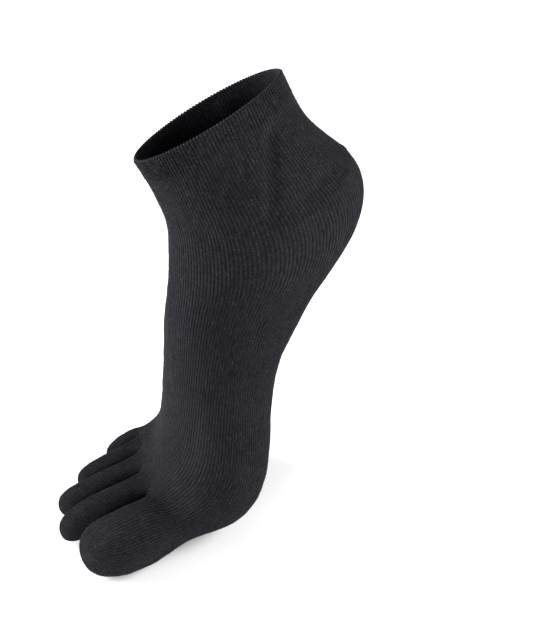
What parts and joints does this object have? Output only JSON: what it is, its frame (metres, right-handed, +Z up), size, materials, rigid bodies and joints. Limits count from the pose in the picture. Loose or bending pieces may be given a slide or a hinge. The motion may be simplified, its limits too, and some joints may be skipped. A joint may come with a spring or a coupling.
{
  "type": "toe sock",
  "caption": "Low knitted sock with a separate pocket for each toe, in its worn shape on tiptoe, open and hollow for a right foot.",
  "frame": {"origin": "middle of the leg opening, where the sock sits on the leg", "axes": "+Z up from the ground to the leg opening, -Y the way the toes point, +X towards the big toe's side"},
  "size_m": [0.0941, 0.1634, 0.2288],
  "materials": {
    "cuff_knit": "ribbed knit, matt",
    "leg_knit": "plain knit, matt",
    "foot_knit": "plain knit, matt",
    "ball_knit": "plain knit, matt",
    "heel_pocket_knit": "turned knit, matt",
    "big_toe_knit": "plain knit, matt",
    "second_toe_knit": "plain knit, matt",
    "third_toe_knit": "plain knit, matt",
    "fourth_toe_knit": "plain knit, matt",
    "little_toe_knit": "plain knit, matt"
  },
  "bodies": {
    "root": {"cuff": "cuff_knit", "leg": "leg_knit", "foot": "foot_knit", "ball": "ball_knit", "heel_pocket": "heel_pocket_knit", "big_toe": "big_toe_knit", "second_toe": "second_toe_knit", "third_toe": "third_toe_knit", "fourth_toe": "fourth_toe_knit", "little_toe": "little_toe_knit"}
  },
  "joints": []
}
